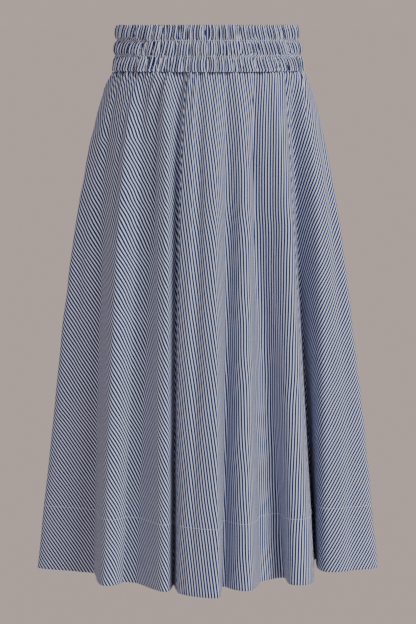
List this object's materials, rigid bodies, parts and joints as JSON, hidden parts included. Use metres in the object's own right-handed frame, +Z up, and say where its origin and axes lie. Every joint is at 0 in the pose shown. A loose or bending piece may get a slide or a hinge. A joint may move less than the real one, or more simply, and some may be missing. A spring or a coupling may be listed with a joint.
{
  "type": "a-line maxi skirt",
  "caption": "Long flared skirt, hanging open and hollow from a gathered elastic waistband; flared panels fall in deep soft folds to a turned-up hem.",
  "frame": {"origin": "centre of the waistband, at half its height, where the wearer's waist holds the skirt", "axes": "+Z up towards the waistband's top edge, -Y the front of the skirt, +X towards the right as seen from the front"},
  "size_m": [0.535, 0.478, 0.8461],
  "materials": {
    "waistband_poplin": "matte",
    "front_panel_poplin": "matte",
    "right_side_panel_poplin": "matte",
    "back_panel_poplin": "matte",
    "left_side_panel_poplin": "matte"
  },
  "bodies": {
    "root": {"waistband": "waistband_poplin", "front_panel": "front_panel_poplin", "right_side_panel": "right_side_panel_poplin", "back_panel": "back_panel_poplin", "left_side_panel": "left_side_panel_poplin"}
  },
  "joints": []
}
